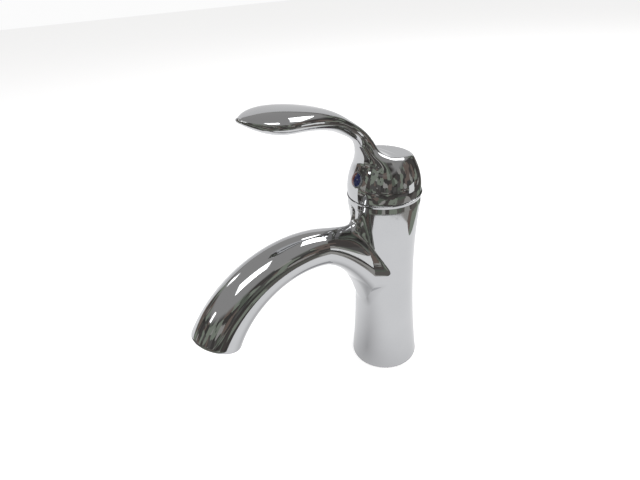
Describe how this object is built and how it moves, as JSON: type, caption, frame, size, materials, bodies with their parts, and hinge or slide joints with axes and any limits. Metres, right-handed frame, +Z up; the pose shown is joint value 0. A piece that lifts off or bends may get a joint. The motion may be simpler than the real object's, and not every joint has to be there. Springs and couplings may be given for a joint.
{
  "type": "bathroom mixer faucet",
  "caption": "Single-lever basin mixer tap with a waisted column, an arched spout cast in one with it, and a leaf-shaped lever over a ball hub.",
  "frame": {"origin": "centre of the base ring, on the deck", "axes": "+Z up along the column, -Y towards the spout and lever, +X towards the cold side"},
  "size_m": [0.0456, 0.1532, 0.1888],
  "materials": {
    "chrome": "polished chrome plate",
    "brass": "turned brass",
    "steel": "stainless steel",
    "white_plastic": "moulded acetal",
    "grey_plastic": "moulded plastic",
    "ceramic": "lapped ceramic",
    "rubber": "matt black rubber",
    "cold_blue": "glossy dark blue",
    "hot_red": "glossy dark red"
  },
  "bodies": {
    "tap_body": {"body": "chrome", "base_gasket": "rubber", "cap_ring": "chrome", "retaining_nut": "brass", "cartridge_housing": "white_plastic", "cartridge_base": "grey_plastic", "base_seals": "rubber", "cartridge_o_ring": "rubber", "fixed_disc": "ceramic", "aerator_housing": "chrome", "aerator_washer": "rubber", "aerator_insert": "white_plastic", "aerator_screen": "grey_plastic"},
    "swivel": {"spindle_guide": "white_plastic", "pivot_pin": "steel"},
    "slider": {"moving_disc": "ceramic", "disc_carrier": "grey_plastic"},
    "lever": {"handle": "chrome", "spindle": "steel", "set_screw": "steel", "index_plug": "grey_plastic", "cold_mark": "cold_blue", "hot_mark": "hot_red"}
  },
  "joints": [
    {"name": "temperature_turn", "type": "hinge", "parent": "tap_body", "child": "swivel", "pos_m": [0, 0, 0.131], "axis": [0, 0, 1], "range_deg": [-50, 50]},
    {"name": "flow_lift", "type": "hinge", "parent": "swivel", "child": "lever", "pos_m": [0, 0, 0.131], "axis": [-1, 0, 0], "range_deg": [0, 18]},
    {"name": "disc_slide", "type": "slide", "parent": "swivel", "child": "slider", "axis": [0, -1, 0], "range_m": [0, 0.0076]}
  ],
  "couplings": [
    {"joint": "disc_slide", "follows": "flow_lift", "m_per_rad": 0.0238}
  ]
}
